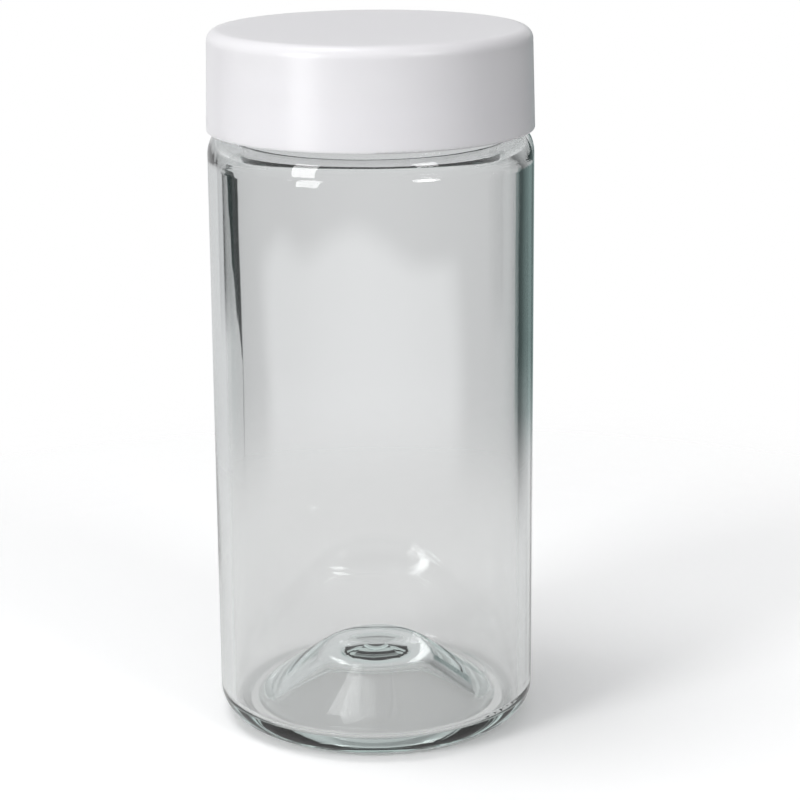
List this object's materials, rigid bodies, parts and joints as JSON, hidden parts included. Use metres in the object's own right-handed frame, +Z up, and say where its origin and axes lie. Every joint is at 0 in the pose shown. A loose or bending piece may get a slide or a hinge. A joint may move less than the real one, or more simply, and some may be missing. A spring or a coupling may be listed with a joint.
{
  "type": "specimen jar",
  "caption": "Straight-sided clear glass specimen jar with a domed base and a smooth white screw cap over a foam-backed liner.",
  "frame": {"origin": "centre of the base, on the plane that the jar stands on", "axes": "+Z up along the jar's axis, from the base to the cap; the thread's bottom end is on +X"},
  "size_m": [0.0502, 0.0502, 0.1093],
  "materials": {
    "clear_glass": "clear soda-lime glass, fire-polished, faint green in the thick places and along the edges",
    "white_plastic": "smooth moulded white polypropylene, satin gloss",
    "liner_foam": "white foamed polyethylene, fine closed cells at the cut edge",
    "liner_film": "white fluoropolymer film, smooth and slightly waxy"
  },
  "bodies": {
    "jar": {"glass_jar": "clear_glass"},
    "liner": {"liner_backing": "liner_foam", "liner_facing": "liner_film"},
    "cap": {"screw_cap": "white_plastic"}
  },
  "joints": [
    {"name": "cap_rise", "type": "slide", "parent": "jar", "child": "liner", "axis": [0, 0, 1], "range_m": [0, 0.015]},
    {"name": "cap_turn", "type": "hinge", "parent": "liner", "child": "cap", "pos_m": [0, 0, 0.1066], "axis": [0, 0, 1], "range_deg": [0, 1260]}
  ],
  "couplings": [
    {"joint": "cap_rise", "follows": "cap_turn", "m_per_rad": 0.00067376}
  ]
}
